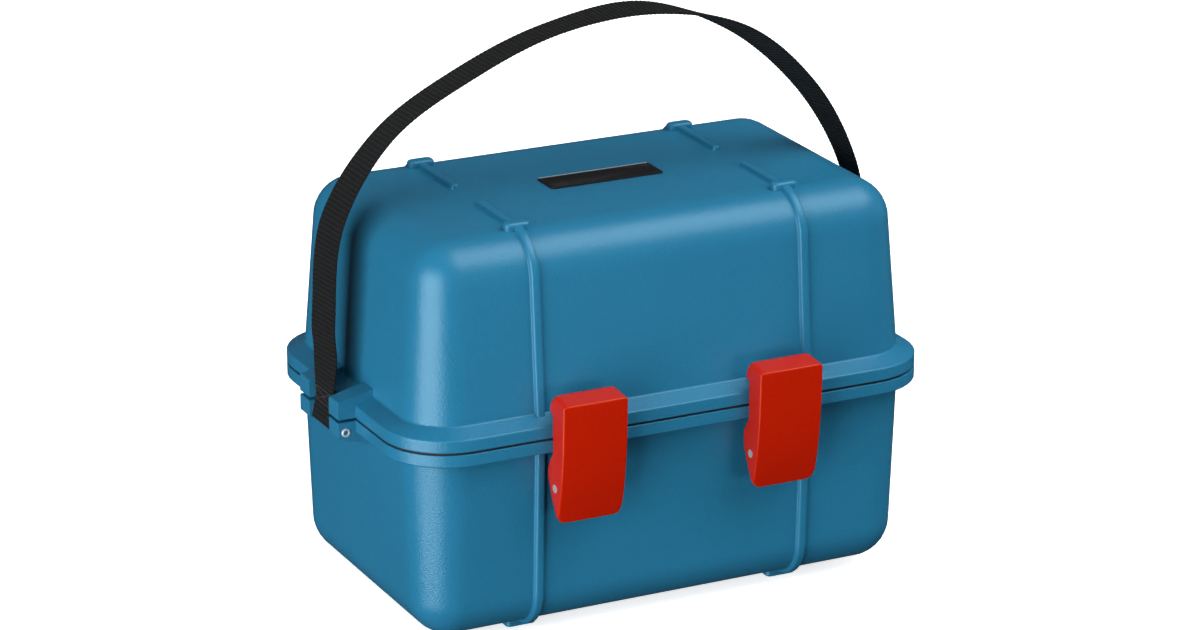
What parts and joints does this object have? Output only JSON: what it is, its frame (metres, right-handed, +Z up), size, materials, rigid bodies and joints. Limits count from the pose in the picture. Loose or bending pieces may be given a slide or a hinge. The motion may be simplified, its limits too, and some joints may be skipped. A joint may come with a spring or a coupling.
{
  "type": "instrument carrying case",
  "caption": "Hard plastic carrying case for an automatic level: hinged lid, draw latches, webbing strap and a foam cradle.",
  "frame": {"origin": "on the ground under the middle of the closed case", "axes": "+Z up, +X to the right seen from the latches, latches face -Y"},
  "size_m": [0.346, 0.234, 0.326],
  "materials": {
    "shell": "fine moulded texture, satin",
    "latch": "satin",
    "webbing": "woven nylon",
    "gasket": "matte",
    "foam": "open-cell foam",
    "rivet": "satin",
    "pin": "zinc plated",
    "label": "satin"
  },
  "bodies": {
    "base": {"base_shell": "shell", "rim_gasket": "gasket", "foam_floor": "foam", "foam_cradle": "foam", "strap_pin_left": "rivet", "strap_pin_right": "rivet", "strap_loop_left": "webbing", "strap_loop_right": "webbing", "hinge_pin_left": "pin", "hinge_pin_right": "pin", "latch_pivot_pin_left": "pin", "latch_pivot_pin_right": "pin"},
    "lid": {"lid_shell": "shell", "lid_foam": "foam", "label_plate": "label"},
    "strap": {"strap_webbing": "webbing"},
    "link_left": {"latch_link_left": "latch"},
    "link_right": {"latch_link_right": "latch"},
    "lever_left": {"latch_lever_left": "latch", "latch_lever_pin_left": "pin"},
    "lever_right": {"latch_lever_right": "latch", "latch_lever_pin_right": "pin"}
  },
  "joints": [
    {"name": "lid_hinge", "type": "hinge", "parent": "base", "child": "lid", "pos_m": [0, 0.111, 0.122], "axis": [-1, 0, 0], "range_deg": [0, 100], "deforming": ["strap_webbing"]},
    {"name": "strap_swing", "type": "hinge", "parent": "base", "child": "strap", "pos_m": [0, 0, 0.142], "axis": [1, 0, 0], "range_deg": [-80, 85], "deforming": ["strap_webbing"]},
    {"name": "latch_left", "type": "hinge", "parent": "base", "child": "link_left", "pos_m": [-0.06, -0.1065, 0.108], "axis": [-1, 0, 0], "range_deg": [0, 105]},
    {"name": "latch_right", "type": "hinge", "parent": "base", "child": "link_right", "pos_m": [0.06, -0.1065, 0.108], "axis": [-1, 0, 0], "range_deg": [0, 105]},
    {"name": "lever_turn_left", "type": "hinge", "parent": "link_left", "child": "lever_left", "pos_m": [-0.06, -0.1055, 0.0945], "axis": [-1, 0, 0], "range_deg": [-136.5, 0]},
    {"name": "lever_turn_right", "type": "hinge", "parent": "link_right", "child": "lever_right", "pos_m": [0.06, -0.1055, 0.0945], "axis": [-1, 0, 0], "range_deg": [-136.5, 0]}
  ],
  "couplings": [
    {"joint": "lever_turn_left", "follows": "latch_left", "ratio": -1.3},
    {"joint": "lever_turn_right", "follows": "latch_right", "ratio": -1.3}
  ]
}
